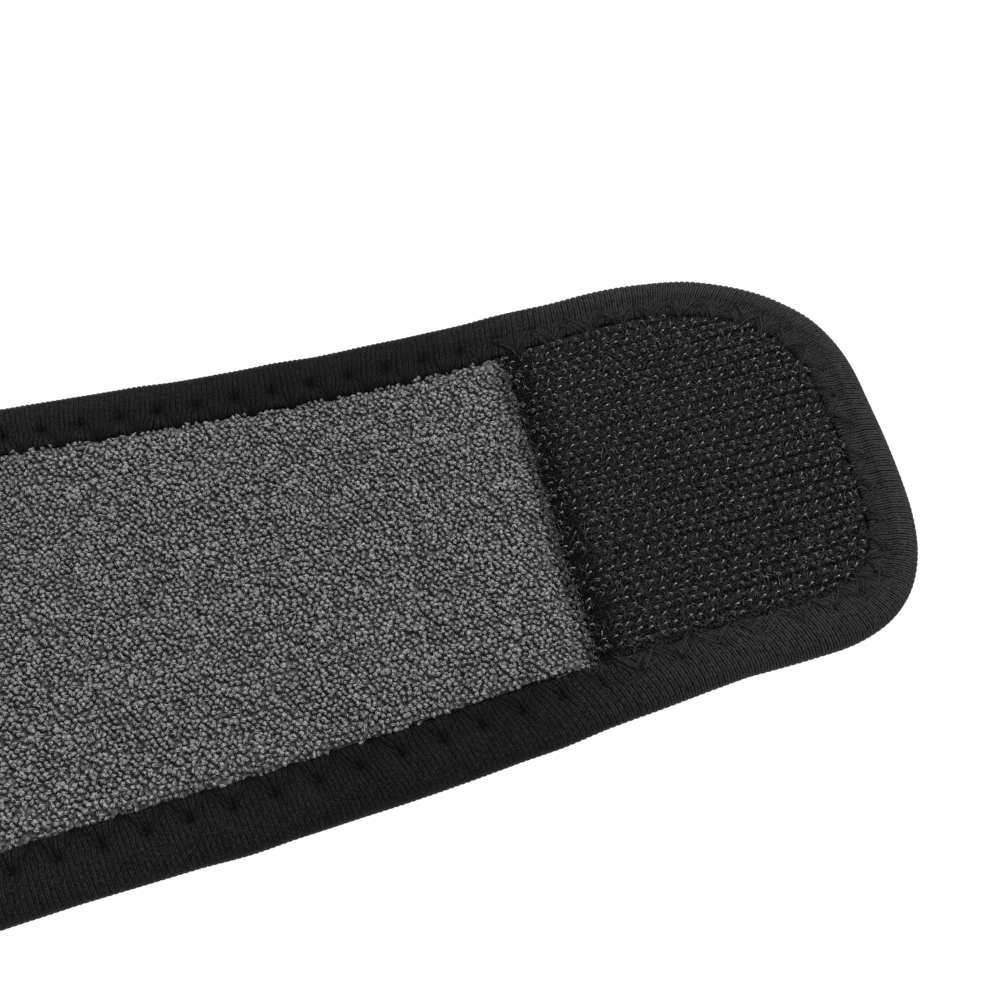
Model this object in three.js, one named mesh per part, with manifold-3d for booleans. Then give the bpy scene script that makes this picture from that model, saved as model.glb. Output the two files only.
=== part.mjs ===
// A wrap-round knee support band: a padded strap with a terry lining, a knitted outer face,
// a ribbed binding folded round its edge and a patch of fastening hooks on the tab at one end.
// Millimetres, +Z up. The band lies flat with its lining up, its length along X, the hook tab at +X.
import * as THREE from "three";
import Module from "manifold-3d";

const solids = await Module();
solids.setup();

// Sizes of the whole band
const bandThickness = 5; // over the binding
const layerGap = 0.3; // clearance between neighbouring layers
const hookEdge = 157.5; // where the hook patch starts, from the middle of the band
const stationStep = 10; // spacing of the sections along the straight edges
const cornerSteps = 10; // sections round each corner

// Distance from the middle line to the back and front edges, along the band
const plan = [
  { along: -180, back: 28.0, front: 28.0 },
  { along: -140, back: 29.6, front: 29.6 },
  { along: -95, back: 32.0, front: 32.0 },
  { along: -60, back: 33.4, front: 33.4 },
  { along: 0, back: 34.5, front: 34.5 },
  { along: 60, back: 33.4, front: 33.4 },
  { along: 95, back: 32.1, front: 31.7 },
  { along: 120, back: 30.5, front: 30.6 },
  { along: 140, back: 29.5, front: 29.3 },
  { along: 160, back: 29.2, front: 27.3 },
  { along: 180, back: 29.3, front: 25.4 },
];

// The two rounded ends: tip position, where on the tip the corners meet, and for each corner
// how far back from the tip it starts and how square it is (2 is an ellipse)
const ends = {
  tab: { tip: 200, side: 5.8, back: { reach: 30, square: 2.3 }, front: { reach: 26, square: 3.8 } },
  plain: { tip: -200, side: 0, back: { reach: 28, square: 2.7 }, front: { reach: 28, square: 2.7 } },
};

// Each end curves up from the table and then runs on at a slope
const curls = [
  { end: 1, from: 110, to: 150, slope: 0.04 },
  { end: -1, from: 120, to: 165, slope: 0.03 },
];

// Binding tape: its thickness, how far it reaches in over both faces, and the stitched groove
const binding = { wall: 0.9, reach: 7.6, reachAtHooks: 6.1, grooveIn: 2.4, groove: 0.3, turns: 8 };

// Layer heights by ring, outermost first. Each ring lies at lip * binding reach + inset from the edge.
const shellRings = [
  { lip: 0, inset: 2.5, bottom: 1.2, top: 1.9 },
  { lip: 1, inset: 0.4, bottom: 1.2, top: 1.9 },
  { lip: 1, inset: 2.4, bottom: 0, top: 1.9 },
];
const liningRings = [
  { lip: 0, inset: 2.5, bottom: 2.2, top: 3.8, topUnderHooks: 2.8 },
  { lip: 1, inset: 0.4, bottom: 2.2, top: 3.8, topUnderHooks: 2.8 },
  { lip: 1, inset: 2.4, bottom: 2.2, top: 5, topUnderHooks: 3.6 },
];
const patchRings = [
  { lip: 0, inset: 3.6, bottom: 3.1, top: 3.8 },
  { lip: 1, inset: 0.4, bottom: 3.1, top: 3.8 },
  { lip: 1, inset: 2, bottom: 3.9, top: 4.7 },
];

// Rows of hooks stand on the patch in pairs, each pair as one low rib
const hookRibs = { pitch: 2.15, width: 1.5, crown: 1.1, root: 4.4, height: 6.1, margin: 1.6, inset: 2.6 };

// A smooth curve through a table's rows: cubic pieces whose slope at a row is that of its neighbours' chord
function through(rows, column, along) {
  const last = rows.length - 1;
  let k = 0;
  while (k < last - 1 && along > rows[k + 1].along) k++;
  const slope = (i) => {
    const a = rows[Math.max(i - 1, 0)];
    const b = rows[Math.min(i + 1, last)];
    return (b[column] - a[column]) / (b.along - a.along);
  };
  const span = rows[k + 1].along - rows[k].along;
  const t = (along - rows[k].along) / span;
  const rise = t * t * (3 - 2 * t);
  return (
    rows[k][column] * (1 - rise) +
    rows[k + 1][column] * rise +
    span * slope(k) * t * (1 - t) * (1 - t) -
    span * slope(k + 1) * t * t * (1 - t)
  );
}

// Height of the band above the table: level, then a parabola, then a straight slope
function lift(x) {
  let height = 0;
  for (const { end, from, to, slope } of curls) {
    const past = x * end - from;
    const bend = to - from;
    if (past > 0) height += past < bend ? (slope * past * past) / (2 * bend) : slope * (past - bend / 2);
  }
  return height;
}

// The binding is narrower where it holds the hook patch
function reachAt(x) {
  const share = THREE.MathUtils.smoothstep(x, hookEdge - 12, hookEdge + 18);
  return THREE.MathUtils.lerp(binding.reach, binding.reachAtHooks, share);
}

// One corner of an end as a superellipse quarter, from the long edge to the tip
function corner(end, sideName) {
  const sign = sideName === "back" ? 1 : -1;
  const { reach, square } = end[sideName];
  const start = end.tip - Math.sign(end.tip) * reach;
  const depth = sign * through(plan, sideName, start) - end.side;
  return Array.from({ length: cornerSteps + 1 }, (_, i) => {
    const angle = (Math.PI / 2) * (1 - i / cornerSteps);
    const along = Math.max(Math.cos(angle), 0) ** (2 / square);
    const across = Math.sin(angle) ** (2 / square);
    return new THREE.Vector2(start + (end.tip - start) * along, end.side + depth * across);
  });
}

// Stations shared by the two long edges, with close ones where the lining steps down under the hooks
const spineEnds = [
  ends.plain.tip + Math.max(ends.plain.back.reach, ends.plain.front.reach),
  ends.tab.tip - Math.max(ends.tab.back.reach, ends.tab.front.reach),
];
const stations = [];
const hookStations = [hookEdge - 2 * layerGap, hookEdge - layerGap, hookEdge];
for (let x = spineEnds[0]; x < spineEnds[1] - 1; x += stationStep) {
  if (hookStations.every((h) => Math.abs(h - x) > 3)) stations.push(x);
}
stations.push(...hookStations, spineEnds[1]);
stations.sort((a, b) => a - b);

// The outline of the band seen from above, anticlockwise from the plain end of the front edge.
// Each sample knows its outward direction and the spine point it is joined to.
function bandOutline() {
  const front = stations.map((x) => new THREE.Vector2(x, -through(plan, "front", x)));
  const back = stations.map((x) => new THREE.Vector2(x, through(plan, "back", x))).reverse();
  const frontTab = corner(ends.tab, "front");
  const backTab = corner(ends.tab, "back").reverse();
  const backPlain = corner(ends.plain, "back");
  const frontPlain = corner(ends.plain, "front").reverse();
  const loop = [front, frontTab, backTab, back, backPlain, frontPlain].flat();
  const points = loop.filter((p, i) => p.distanceTo(loop[(i + 1) % loop.length]) > 0.05);
  return points.map((p, i) => {
    const before = points[(i + points.length - 1) % points.length];
    const after = points[(i + 1) % points.length];
    const tangent = p.clone().sub(before).normalize().add(after.clone().sub(p).normalize()).normalize();
    return {
      x: p.x,
      y: p.y,
      outX: tangent.y,
      outY: -tangent.x,
      reach: reachAt(p.x),
      spine: THREE.MathUtils.clamp(p.x, ...spineEnds),
    };
  });
}

const outline = bandOutline();
const underHooks = (sample) => sample.x > hookEdge - layerGap - 0.01;
const overHooks = (sample) => sample.x > hookEdge - 0.01;

// Gathers vertices and triangles, and lays each vertex on the curled band
class Skin {
  points = [];
  faces = [];
  add(x, y, z) {
    this.points.push(x, y, z + lift(x));
    return this.points.length / 3 - 1;
  }
  quad(a, b, c, d) {
    if (a !== b && b !== c && a !== c) this.faces.push(a, b, c);
    if (a !== c && c !== d && a !== d) this.faces.push(a, c, d);
  }
  geometry() {
    const made = new THREE.BufferGeometry();
    made.setAttribute("position", new THREE.Float32BufferAttribute(this.points, 3));
    made.setIndex(this.faces);
    return made;
  }
}

// A padded sheet: rings follow the outline inwards, and the last is joined to the spine.
// A closed sheet fills the outline, and an open one ends in a straight cut across the band.
function sheet(samples, rings, closed, topOf = (ring) => ring.top) {
  const skin = new Skin();
  const spines = new Map();
  const innermost = rings[rings.length - 1];
  const columns = samples.map((s) => {
    const column = rings.map((ring) => {
      const inset = ring.lip * s.reach + ring.inset;
      const x = s.x - s.outX * inset;
      const y = s.y - s.outY * inset;
      return { top: skin.add(x, y, topOf(ring, s)), bottom: skin.add(x, y, ring.bottom) };
    });
    if (!spines.has(s.spine)) {
      spines.set(s.spine, {
        top: skin.add(s.spine, 0, topOf(innermost, s)),
        bottom: skin.add(s.spine, 0, innermost.bottom),
      });
    }
    return [...column, spines.get(s.spine)];
  });
  const pairs = closed ? columns.length : columns.length - 1;
  for (let i = 0; i < pairs; i++) {
    const here = columns[i];
    const next = columns[(i + 1) % columns.length];
    skin.quad(here[0].bottom, next[0].bottom, next[0].top, here[0].top);
    for (let k = 0; k + 1 < here.length; k++) {
      skin.quad(here[k].top, next[k].top, next[k + 1].top, here[k + 1].top);
      skin.quad(here[k + 1].bottom, next[k + 1].bottom, next[k].bottom, here[k].bottom);
    }
  }
  if (!closed) {
    const first = columns[0];
    const final = columns[columns.length - 1];
    for (let k = 0; k + 1 < first.length; k++) {
      skin.quad(first[k].bottom, first[k].top, first[k + 1].top, first[k + 1].bottom);
      skin.quad(final[k].bottom, final[k + 1].bottom, final[k + 1].top, final[k].top);
    }
  }
  return skin.geometry();
}

// The binding's section, anticlockwise, as offsets outwards and heights: a tape folded round the edge
function bindingSection(reach) {
  const { wall, grooveIn, groove, turns } = binding;
  const middle = bandThickness / 2;
  const arc = (radius, from, to, steps) =>
    Array.from({ length: steps + 1 }, (_, i) => {
      const angle = from + ((to - from) * i) / steps;
      return [radius * Math.cos(angle) - middle, radius * Math.sin(angle) + middle];
    });
  return [
    [-reach, 0.1],
    [grooveIn - reach, groove],
    ...arc(middle, -Math.PI / 2, Math.PI / 2, turns),
    [grooveIn - reach, bandThickness - groove],
    [-reach, bandThickness - 0.1],
    [-reach, bandThickness - wall],
    ...arc(middle - wall, Math.PI / 2, -Math.PI / 2, turns - 2),
    [-reach, wall],
  ];
}

// Sweeps the section once round the outline
function bindingBody() {
  const skin = new Skin();
  const loops = outline.map((s) =>
    bindingSection(s.reach).map(([out, z]) => skin.add(s.x + s.outX * out, s.y + s.outY * out, z)),
  );
  loops.forEach((here, i) => {
    const next = loops[(i + 1) % loops.length];
    here.forEach((a, j) => {
      const k = (j + 1) % here.length;
      skin.quad(a, next[j], next[k], here[k]);
    });
  });
  return skin.geometry();
}

function toSolid(geometry) {
  return new solids.Manifold(
    new solids.Mesh({
      numProp: 3,
      vertProperties: geometry.attributes.position.array,
      triVerts: new Uint32Array(geometry.index.array),
    }),
  );
}

function fromSolid(solid) {
  const mesh = solid.getMesh();
  const made = new THREE.BufferGeometry();
  made.setAttribute("position", new THREE.BufferAttribute(mesh.vertProperties, 3));
  made.setIndex(new THREE.BufferAttribute(mesh.triVerts, 1));
  return made;
}

// Where a hook rib at this distance from the middle line runs out against the binding
function ribEnd(samples, across) {
  let end = -Infinity;
  const edge = samples.map((s) => {
    const inset = s.reach + hookRibs.inset;
    return [s.x - s.outX * inset, s.y - s.outY * inset];
  });
  for (let i = 0; i + 1 < edge.length; i++) {
    const [[x0, y0], [x1, y1]] = [edge[i], edge[i + 1]];
    if ((y0 - across) * (y1 - across) <= 0 && y0 !== y1) {
      end = Math.max(end, x0 + ((x1 - x0) * (across - y0)) / (y1 - y0));
    }
  }
  return end;
}

// One rib: a trapezium section run along the band
function hookRib(across, start, end) {
  const { width, crown, root, height } = hookRibs;
  const section = [
    [across - width / 2, root],
    [across + width / 2, root],
    [across + crown / 2, height],
    [across - crown / 2, height],
  ];
  const skin = new Skin();
  const [a, b] = [start, end].map((x) => section.map(([y, z]) => skin.add(x, y, z)));
  for (let i = 0; i < 4; i++) {
    const k = (i + 1) % 4;
    skin.quad(a[k], b[k], b[i], a[i]);
  }
  skin.quad(a[3], a[2], a[1], a[0]);
  skin.quad(b[0], b[1], b[2], b[3]);
  return skin.geometry();
}

// The hook patch: a thin tape tucked under the binding, with its hook ribs joined on
function hookPatch() {
  const samples = outline.filter(overHooks);
  const start = hookEdge + hookRibs.margin;
  const bodies = [toSolid(sheet(samples, patchRings, false))];
  const rows = Math.floor(plan[plan.length - 1].back / hookRibs.pitch);
  for (let row = -rows; row <= rows; row++) {
    const across = row * hookRibs.pitch;
    const sides = [across - hookRibs.width / 2, across + hookRibs.width / 2];
    const end = Math.min(...sides.map((y) => ribEnd(samples, y)));
    if (end > start + 4) bodies.push(toSolid(hookRib(across, start, end)));
  }
  return fromSolid(solids.Manifold.union(bodies));
}

const terry = new THREE.MeshStandardMaterial({ name: "terry_grey", color: 0x54565a, roughness: 0.95 });
const knit = new THREE.MeshStandardMaterial({ name: "loop_knit_black", color: 0x1c1c1e, roughness: 0.9 });
const ribbed = new THREE.MeshStandardMaterial({ name: "rib_tape_black", color: 0x19191a, roughness: 0.8 });
const hooks = new THREE.MeshStandardMaterial({ name: "hook_nylon_black", color: 0x141415, roughness: 0.45 });

const liningTop = (ring, sample) => (underHooks(sample) ? ring.topUnderHooks : ring.top);
const pieces = [
  { name: "outer_shell", geometry: sheet(outline, shellRings, true), material: knit },
  { name: "terry_lining", geometry: sheet(outline, liningRings, true, liningTop), material: terry },
  { name: "hook_patch", geometry: hookPatch(), material: hooks },
  { name: "edge_binding", geometry: bindingBody(), material: ribbed },
];

// The origin goes under the middle of the band
const bounds = new THREE.Box3();
for (const { geometry } of pieces) {
  geometry.computeBoundingBox();
  bounds.union(geometry.boundingBox);
}
const middle = bounds.getCenter(new THREE.Vector3());

const kneeBand = new THREE.Group();
kneeBand.name = "knee_wrap_band";
for (const { name, geometry, material } of pieces) {
  geometry.translate(-middle.x, -middle.y, -bounds.min.z);
  geometry.computeVertexNormals();
  const mesh = new THREE.Mesh(geometry, material);
  mesh.name = name;
  kneeBand.add(mesh);
}

export default kneeBand;
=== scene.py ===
import bpy
import numpy as np
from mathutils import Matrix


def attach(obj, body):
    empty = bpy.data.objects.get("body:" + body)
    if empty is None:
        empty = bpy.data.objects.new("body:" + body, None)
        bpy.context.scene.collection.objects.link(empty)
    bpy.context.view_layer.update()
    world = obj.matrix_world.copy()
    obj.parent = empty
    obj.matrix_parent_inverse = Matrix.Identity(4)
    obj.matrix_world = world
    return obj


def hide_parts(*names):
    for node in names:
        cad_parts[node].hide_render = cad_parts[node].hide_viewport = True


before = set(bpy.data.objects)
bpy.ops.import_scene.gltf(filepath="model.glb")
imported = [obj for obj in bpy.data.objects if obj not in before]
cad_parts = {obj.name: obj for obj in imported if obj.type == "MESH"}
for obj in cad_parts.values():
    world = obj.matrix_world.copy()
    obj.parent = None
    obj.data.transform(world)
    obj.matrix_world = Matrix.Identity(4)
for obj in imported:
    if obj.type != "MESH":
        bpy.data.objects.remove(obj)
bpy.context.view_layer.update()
mm = 0.001  # shapes are worked out in millimetres
print("frame loaded:", ", ".join(sorted(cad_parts)))

# plan of the band, as in the solids: half widths at places along it, its two ends and how they curl
band = {
    "thick": 5.0,
    "along": (-180, -140, -95, -60, 0, 60, 95, 120, 140, 160, 180),
    "back": (28, 29.6, 32, 33.4, 34.5, 33.4, 32.1, 30.5, 29.5, 29.2, 29.3),
    "front": (28, 29.6, 32, 33.4, 34.5, 33.4, 31.7, 30.6, 29.3, 27.3, 25.4),
    "tab": {"tip": 200, "side": 5.8, "back": (30, 2.3), "front": (26, 3.8)},  # corner reach, squareness
    "plain": {"tip": -200, "side": 0, "back": (28, 2.7), "front": (28, 2.7)},
    "curls": ((1, 110, 150, 0.04), (-1, 120, 165, 0.03)),  # side, start, end of the bend, slope
    "hookEdge": 157.5,  # where the hook patch starts
    "edgeStep": 0.1,
    "curvePoints": 2000,  # in each stretch of the outline, before it is cut into edge steps
    "turnSteps": 6,  # edge steps each way, over which the outline's direction is taken
    "spotSteps": 5,  # edge steps between the spots that are tried for the nearest one
}
hookEdge = band["hookEdge"]


def smooth(share):
    # eases from 0 to 1: three squares less two cubes
    share = np.clip(share, 0, 1)
    return share * share * (3 - 2 * share)


def bump(distance, width):
    # a bell: e to the minus square of distance over width
    return np.exp(-((distance / width) ** 2))


def pastHookEdge(x, blend):
    # eases from 0 to 1 between a place before the hook edge and one after it
    before, after = blend
    return smooth((x - hookEdge - before) / (after - before))


def halfWidth(side, x):
    # cubic pieces through the rows, each row's slope being the chord of its neighbours
    rows = np.array(band["along"], float)
    wide = np.array(band[side], float)
    last = len(rows) - 1
    before = np.maximum(np.arange(last + 1) - 1, 0)
    after = np.minimum(np.arange(last + 1) + 1, last)
    slope = (wide[after] - wide[before]) / (rows[after] - rows[before])
    k = np.clip(np.searchsorted(rows, x) - 1, 0, last - 1)
    span = rows[k + 1] - rows[k]
    t = (x - rows[k]) / span
    rise = t * t * (3 - 2 * t)
    bends = slope[k] * t * (1 - t) ** 2 - slope[k + 1] * t * t * (1 - t)
    return wide[k] * (1 - rise) + wide[k + 1] * rise + span * bends


def liftAt(x):
    # height of each curled end: a parabola over the bend, then a straight ramp
    height = 0
    for side, start, stop, slope in band["curls"]:
        past = np.maximum(side * np.asarray(x, float) - start, 0)
        bend = stop - start
        ramp = slope * (past - bend / 2)
        height = height + np.where(past < bend, slope * past**2 / (2 * bend), ramp)
    return height


def cornerCurve(end, side):
    # a quarter of a superellipse, from the tip to where the long edge starts
    sign = 1 if side == "back" else -1
    reach, square = end[side]
    start = end["tip"] - np.sign(end["tip"]) * reach
    deep = sign * halfWidth(side, start) - end["side"]
    angle = np.linspace(0, np.pi / 2, band["curvePoints"])
    x = start + (end["tip"] - start) * np.cos(angle).clip(0) ** (2 / square)
    y = end["side"] + deep * np.sin(angle) ** (2 / square)
    return np.stack([x, y], 1)


def bandOutline():
    # the edge seen from above, anticlockwise from the plain end's front corner, in equal steps
    tab, plain = band["tab"], band["plain"]
    count = band["curvePoints"]
    frontX = np.linspace(plain["tip"] + plain["front"][0], tab["tip"] - tab["front"][0], count)
    backX = np.linspace(tab["tip"] - tab["back"][0], plain["tip"] + plain["back"][0], count)
    loop = np.vstack([
        np.stack([frontX, -halfWidth("front", frontX)], 1),
        cornerCurve(tab, "front")[::-1],
        cornerCurve(tab, "back"),
        np.stack([backX, halfWidth("back", backX)], 1),
        cornerCurve(plain, "back")[::-1],
        cornerCurve(plain, "front"),
    ])
    gaps = np.linalg.norm(loop - np.roll(loop, 1, 0), axis=1)
    loop = loop[gaps > 1e-6]  # without the points where two stretches meet twice
    loop = np.vstack([loop, loop[:1]])
    run = np.r_[0, np.cumsum(np.linalg.norm(np.diff(loop, axis=0), axis=1))]
    steps = int(run[-1] / band["edgeStep"])
    along = np.arange(steps) * run[-1] / steps
    point = np.stack([np.interp(along, run, loop[:, k]) for k in (0, 1)], 1)
    ahead = np.roll(point, -band["turnSteps"], 0) - np.roll(point, band["turnSteps"], 0)
    ahead /= np.linalg.norm(ahead, axis=1)[:, None]
    out = np.stack([ahead[:, 1], -ahead[:, 0]], 1)
    return {"run": along, "length": run[-1], "point": point, "ahead": ahead, "out": out}


edge = bandOutline()
print("outline", round(edge["length"], 1), "mm round")


def onEdge(along, key):
    # the outline's point or direction at a distance along it, going round again past its end
    columns = [np.interp(along, edge["run"], edge[key][:, k], period=edge["length"]) for k in (0, 1)]
    return np.stack(columns, -1)


def nearEdge(x, y):
    # how far in from the outline a point is, where along it, and the x of the nearest point there
    atOnce = 2000  # points, so that the table of distances stays small
    spots = np.arange(0, len(edge["run"]), band["spotSteps"])
    spotX, spotY = edge["point"][spots].T
    nearest = []
    for part in np.array_split(np.arange(len(x)), max(1, len(x) // atOnce)):
        away = (x[part, None] - spotX) ** 2 + (y[part, None] - spotY) ** 2
        nearest.append(spots[np.argmin(away, axis=1)])
    nearest = np.concatenate(nearest)
    off = np.stack([x, y], 1) - edge["point"][nearest]
    inward = -(off * edge["out"][nearest]).sum(1)
    along = edge["run"][nearest] + (off * edge["ahead"][nearest]).sum(1)
    return inward, along, edge["point"][nearest, 0]


def lattice(x, y, size, seed):
    # smooth noise from -1 to 1: random heights on a square lattice, eased between neighbours
    cells = 512
    heights = np.random.default_rng(seed).uniform(-1, 1, (cells, cells))
    gridX, gridY = np.asarray(x) / size, np.asarray(y) / size
    i, j = np.floor(gridX).astype(int), np.floor(gridY).astype(int)
    a, b = smooth(gridX - i), smooth(gridY - j)
    left, right = i % cells, (i + 1) % cells
    low, high = j % cells, (j + 1) % cells
    near = heights[left, low] * (1 - a) + heights[right, low] * a
    far = heights[left, high] * (1 - a) + heights[right, high] * a
    return near * (1 - b) + far * b


def gridFaces(rows, columns, closedRows=False, closedColumns=False):
    # quads of a grid of points, and the row and column of each corner, counted on past a closed end
    i, j = np.meshgrid(
        np.arange(rows - 1 + closedRows), np.arange(columns - 1 + closedColumns), indexing="ij"
    )
    row = np.stack([i, i + 1, i + 1, i], -1).reshape(-1, 4)
    column = np.stack([j, j, j + 1, j + 1], -1).reshape(-1, 4)
    return row % rows * columns + column % columns, row, column


def addPiece(name, points, quads, finish, triangles=None, uv=None, tint=None):
    # a mesh piece from arrays in millimetres; its faces are turned outwards by the sign of its volume
    triangles = np.zeros((0, 3), int) if triangles is None else triangles
    split = np.vstack([quads[:, [0, 1, 2]], quads[:, [0, 2, 3]], triangles])
    a, b, c = (points[split[:, k]] for k in range(3))
    if (a * np.cross(b, c)).sum() < 0:
        quads, triangles = quads[:, ::-1], triangles[:, ::-1]
        uv = None if uv is None else uv[:, ::-1]
    corners = np.concatenate([quads.ravel(), triangles.ravel()])
    totals = np.r_[np.full(len(quads), 4), np.full(len(triangles), 3)]
    mesh = bpy.data.meshes.new(name)
    mesh.vertices.add(len(points))
    mesh.vertices.foreach_set("co", (points * mm).astype(np.float32).ravel())
    mesh.loops.add(len(corners))
    mesh.loops.foreach_set("vertex_index", corners.astype(np.int32))
    mesh.polygons.add(len(totals))
    mesh.polygons.foreach_set("loop_start", np.r_[0, np.cumsum(totals)[:-1]].astype(np.int32))
    mesh.polygons.foreach_set("use_smooth", np.ones(len(totals), bool))
    mesh.update(calc_edges=True)
    if uv is not None:
        layer = mesh.uv_layers.new(name="cloth")
        layer.data.foreach_set("uv", uv.reshape(-1, 2).astype(np.float32).ravel())
    if tint is not None:
        mesh.attributes.new("tint", "FLOAT", "POINT").data.foreach_set("value", tint.astype(np.float32))
    mesh.materials.append(finish)
    piece = bpy.data.objects.new(name, mesh)
    bpy.context.scene.collection.objects.link(piece)
    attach(piece, "root")
    print(name, len(split), "triangles")
    return piece


class Wire:
    # an output socket; arithmetic on it adds Math nodes to its finish
    def __init__(self, finish, socket):
        self.finish = finish
        self.socket = socket

    def maths(self, operation, *values):
        return self.finish.node("ShaderNodeMath", {"operation": operation}, dict(enumerate(values)))

    def __add__(self, other):
        return self.maths("ADD", self, other)

    def __radd__(self, other):
        return self.maths("ADD", other, self)

    def __sub__(self, other):
        return self.maths("SUBTRACT", self, other)

    def __rsub__(self, other):
        return self.maths("SUBTRACT", other, self)

    def __mul__(self, other):
        return self.maths("MULTIPLY", self, other)

    def __rmul__(self, other):
        return self.maths("MULTIPLY", other, self)

    def __truediv__(self, other):
        return self.maths("DIVIDE", self, other)

    def __rtruediv__(self, other):
        return self.maths("DIVIDE", other, self)

    def __abs__(self):
        return self.maths("ABSOLUTE", self)

    def sine(self):
        return self.maths("SINE", self)

    def fraction(self):
        return self.maths("FRACT", self)

    def part(self, axis):
        return self.finish.node("ShaderNodeSeparateXYZ", {}, {0: self}, axis)

    def ease(self, low, high):
        ends = {"Value": self, "From Min": low, "From Max": high}
        return self.finish.node("ShaderNodeMapRange", {"interpolation_type": "SMOOTHSTEP"}, ends)


class Finish:
    # one material: a Principled shader, and the nodes that feed it
    def __init__(self, name, constants):
        self.material = bpy.data.materials.new(name)
        self.material.use_nodes = True
        self.tree = self.material.node_tree
        self.shader = self.tree.nodes["Principled BSDF"]
        for socket, value in constants.items():
            self.put(self.shader.inputs[socket], value)

    def put(self, socket, value):
        if isinstance(value, Wire):
            self.tree.links.new(value.socket, socket)
        else:
            socket.default_value = value

    def node(self, kind, settings, inputs, output=0):
        made = self.tree.nodes.new(kind)
        for name, value in settings.items():
            setattr(made, name, value)
        for key, value in inputs.items():
            self.put(made.inputs[key], value)
        return Wire(self, made.outputs[output])

    def place(self):
        return self.node("ShaderNodeTexCoord", {}, {}, "Object")

    def cloth(self):
        return self.node("ShaderNodeUVMap", {"uv_map": "cloth"}, {})

    def tint(self):
        return self.node("ShaderNodeAttribute", {"attribute_name": "tint"}, {}, "Fac")

    def noise(self, scale, detail, where=None):
        where = self.place() if where is None else where
        return self.node("ShaderNodeTexNoise", {}, {"Vector": where, "Scale": scale, "Detail": detail})

    def colour(self, factor, dark, light):
        # from one grey to another
        sockets = {"Factor": factor, 6: grey(dark), 7: grey(light)}  # 6 and 7 are the colours A and B
        mixed = self.node("ShaderNodeMix", {"data_type": "RGBA"}, sockets, 2)
        self.put(self.shader.inputs["Base Color"], mixed)

    def roughness(self, value):
        self.put(self.shader.inputs["Roughness"], value)

    def relief(self, height, deep):
        # deep is the height of the pattern in millimetres
        bumps = self.node("ShaderNodeBump", {}, {"Height": height, "Distance": deep * mm})
        self.put(self.shader.inputs["Normal"], bumps)


def grey(value):
    # a touch bluer than neutral
    return (value, value, value * 1.02, 1)


# ribbed knit tape folded round the edge, with the dents of the zigzag seam that holds it
binding = {
    "reach": 7.6,  # how far in it comes over the terry
    "reachAtHooks": 6.1,
    "hookBlend": (-12, 18),  # before and after the hook edge
    # the section's rows at the lip: out from it, below the top, and facing in degrees, 0 being outwards
    "lip": ((1.0, 1.15, 0), (0.3, 1.0, -140), (0.0, 0.62, 180), (0.15, 0.3, 130), (0.7, 0.14, 100),
            (1.4, 0.14, 90), (2.05, 0.2, 90), (2.6, 0.2, 90)),
    "lipTurned": 2,  # of those rows, turned in under it
    "flank": ((0.25, 0.08), (0.58, 0.0), (0.9, 0.04)),  # share of the way to the half round, below the top
    "round": (62, 37, 12, -12, -37, -62),  # angles of the half round
    "underFlank": 0.6,
    "underLip": ((2.6, 0.2, -90), (1.1, 0.14, -90), (0.2, 0.28, -130), (0.0, 0.65, 180), (1.0, 1.15, 0)),
    "foldLine": 1.7,  # in from the edge, inside the fold
    "foldUv": 3,  # across the tape's map, from the section's last row to its first
    "flatFrom": 1.2,  # from mid height to the two flat sides
    "floorGap": 0.02,
    "ribPitch": 0.635,
    "ribPitchAtHooks": 0.73,  # stretched round the tab
    "stretchBlend": (-15, 5),
    "ribDeep": 0.11,
    "ribDeepRound": 0.07,  # over the rolled edge
    "ribVary": (0.8, 0.5, 1.9),  # share of that depth, how much it wanders, and over what length
    "ribSamples": (0, 0.27, 0.73),  # of a pitch; the first is in the groove
    "slants": ((0, 0.1), (200, -0.05), (272, -0.12), (322, -0.26), (350, -0.32), (385, 0), (410, 0.2),
               (445, 0.2), (480, 0), (600, -0.1), (790, 0.1), (900, 0.1)),  # along the edge, lean of the ribs
    "slantWander": (0.12, 9),  # of the lean, and over what length
    "gather": (0.6, 1.1),  # of the ribs to the notches, and how far from the lip
    "fan": (0.22, 0.6),  # of the ribs away from the notches, and how far from the holes
    "stitchPitch": 4.75,
    "stitchStart": ((0, -0.6), (340, -0.6), (450, -2.15), (790, -2.15)),  # along the edge, shift of notches
    "holeFromLip": 2.6,
    "holeAtHooks": 1.7,
    "calm": 0.45,  # share of the seam's dents that is lost beside the hooks
    "notchPastLip": 0.45,
    "legCurve": 1.5,  # power by which a stitch's leg steepens to the notch
    "holeDent": 0.75,
    "holeSize": (0.55, 0.5),  # along and across
    "notchDent": 0.3,
    "notchSize": (0.65, 0.7),
    "threadDent": 0.3,
    "threadWide": 0.42,
    "scallop": (0.75, 0.8, 0.12),  # at each notch, how far from the lip it reaches, and the rest's way back
    "puff": (0.2, 1.4, 0.9, 1.2),  # past the holes: height, how far, how wide, and the gap at each hole
    "lipPuff": (0.1, 0.9, 0.7, 0.8),  # between the notches: height, how far out, and width across and along
    "ripple": 0.06,
    "underShare": 0.6,  # of the seam's dents, underneath
    "sway": (0.13, 6, 5),  # of the edge, over what length, and how far in
    "threadShade": (0.45, 0.3),  # painted shade along the thread's dent, and how wide
    "rimPaintedSheen": (0.9, 0.22, 2.6),  # paleness, the painted sheen that the rolled rim adds, and how far in
    "paler": ((100, 0.7), (128, 0.57), (150, 0.58), (175, 1.36), (200, 1.46)),  # place along, how pale: painted light, growing towards the tab where the light falls
    "course": 0.31,  # length of one loop of the knit
    "greys": (0.0006, 0.042),
}
stitches = round(edge["length"] / binding["stitchPitch"])
stitchPitch = edge["length"] / stitches


def hookShare(x):
    # 0 over the terry, 1 beside the hooks
    return pastHookEdge(x, binding["hookBlend"])


def reachAt(x):
    # how far in from the edge the lip is
    return binding["reach"] + (binding["reachAtHooks"] - binding["reach"]) * hookShare(x)


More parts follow.
